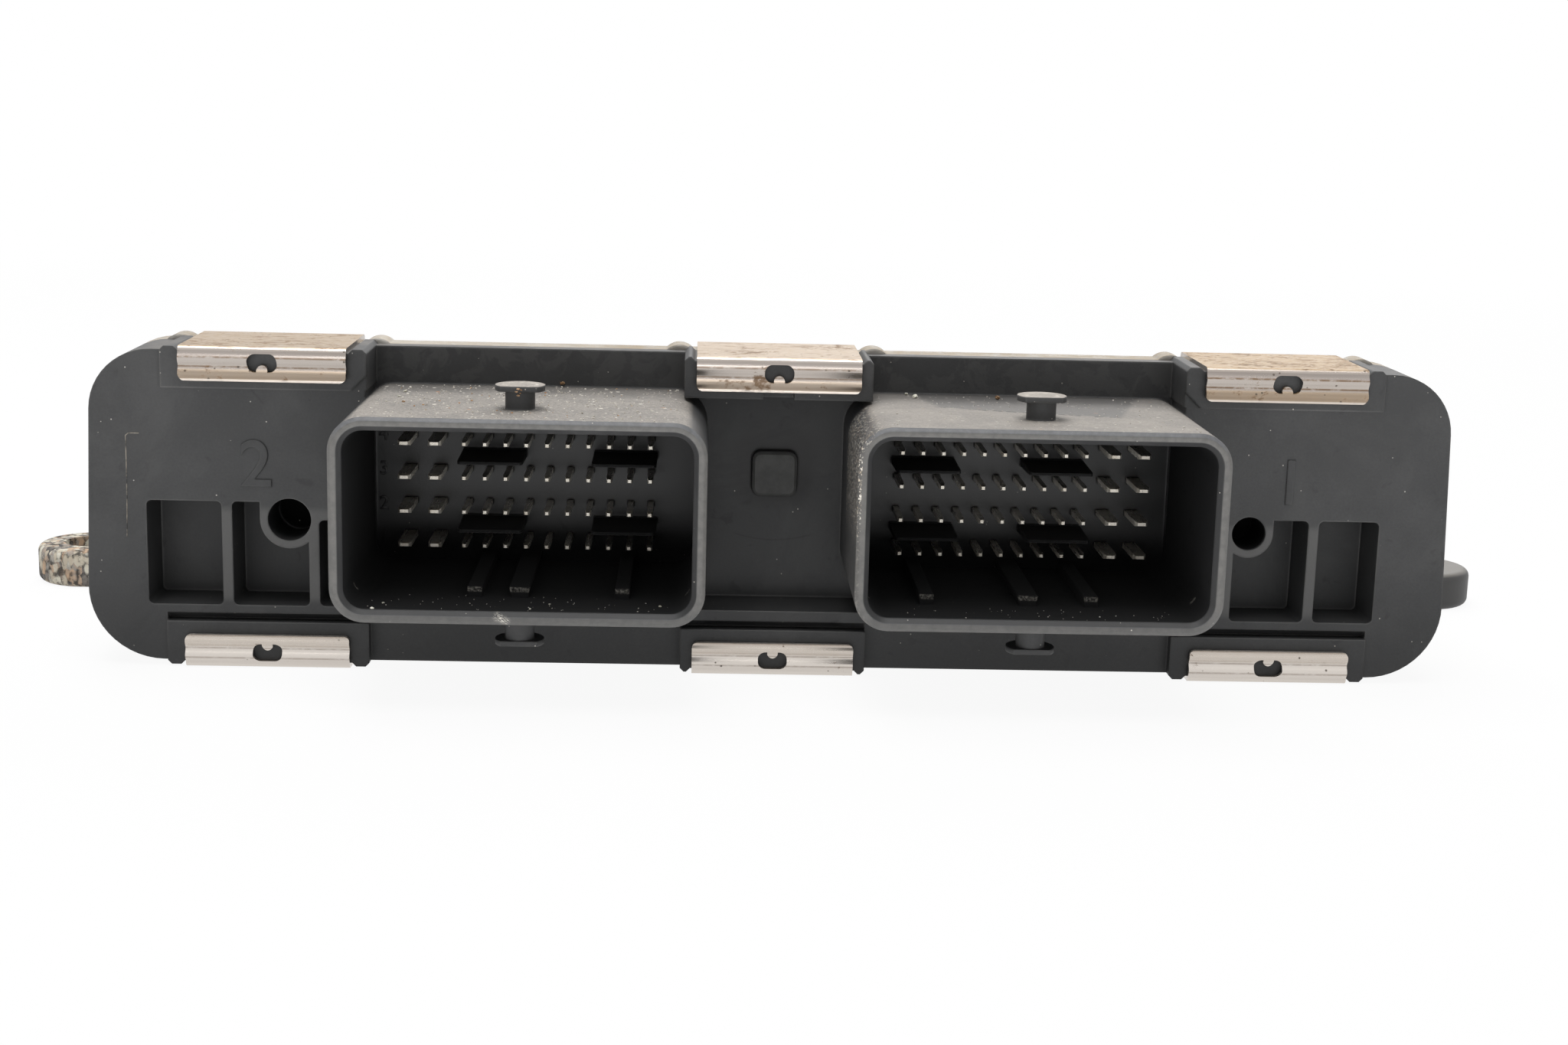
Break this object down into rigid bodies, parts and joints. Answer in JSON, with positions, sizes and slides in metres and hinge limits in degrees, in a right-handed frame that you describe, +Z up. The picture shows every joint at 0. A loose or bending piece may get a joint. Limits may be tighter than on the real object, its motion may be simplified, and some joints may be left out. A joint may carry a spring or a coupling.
{
  "type": "engine control unit",
  "caption": "Sealed engine control unit: die-cast can with side mounting ears, closed by a moulded plastic header with two pin sockets and held by spring clips.",
  "frame": {"origin": "middle of the bounding box's underside, on the mounting plane under the ears", "axes": "+X to the right seen from the sockets' side, +Y from the sockets to the rear, +Z up from the mounting plane"},
  "size_m": [0.1964, 0.104, 0.0378],
  "materials": {
    "moulded_plastic": "fine moulded grain, dusty on top",
    "cast_aluminium": "die-cast, dull and stained",
    "seal_rubber": "matt",
    "vent_film": "matt film",
    "spring_steel": "rolled, with brown stains",
    "pin_metal": "tin plated",
    "board_laminate": "solder resist",
    "screw_steel": "zinc plated",
    "gap_pad": "soft filled silicone",
    "chip_package": "moulded epoxy",
    "sensor_package": "moulded",
    "crystal_can": "drawn can",
    "capacitor_can": "drawn can",
    "ferrite": "pressed core",
    "capacitor_ceramic": "fired",
    "shunt_ceramic": "fired"
  },
  "bodies": {
    "root": {"connector_header": "moulded_plastic", "housing": "cast_aluminium", "perimeter_seal": "seal_rubber", "vent_membrane": "vent_film", "clip_top_left": "spring_steel", "clip_top_centre": "spring_steel", "clip_top_right": "spring_steel", "clip_bottom_left": "spring_steel", "clip_bottom_centre": "spring_steel", "clip_bottom_right": "spring_steel", "signal_pins_left": "pin_metal", "signal_pins_right": "pin_metal", "power_pins_left": "pin_metal", "power_pins_right": "pin_metal", "circuit_board": "board_laminate", "board_screws": "screw_steel", "gap_pads": "gap_pad", "microcontroller": "chip_package", "power_supply_chip": "chip_package", "injector_drivers": "chip_package", "ignition_drivers": "chip_package", "throttle_driver": "chip_package", "bus_transceivers": "chip_package", "pressure_sensor": "sensor_package", "clock_crystal": "crystal_can", "input_capacitors": "capacitor_can", "choke_coil": "ferrite", "ceramic_capacitors": "capacitor_ceramic", "shunt_resistors": "shunt_ceramic"}
  },
  "joints": []
}
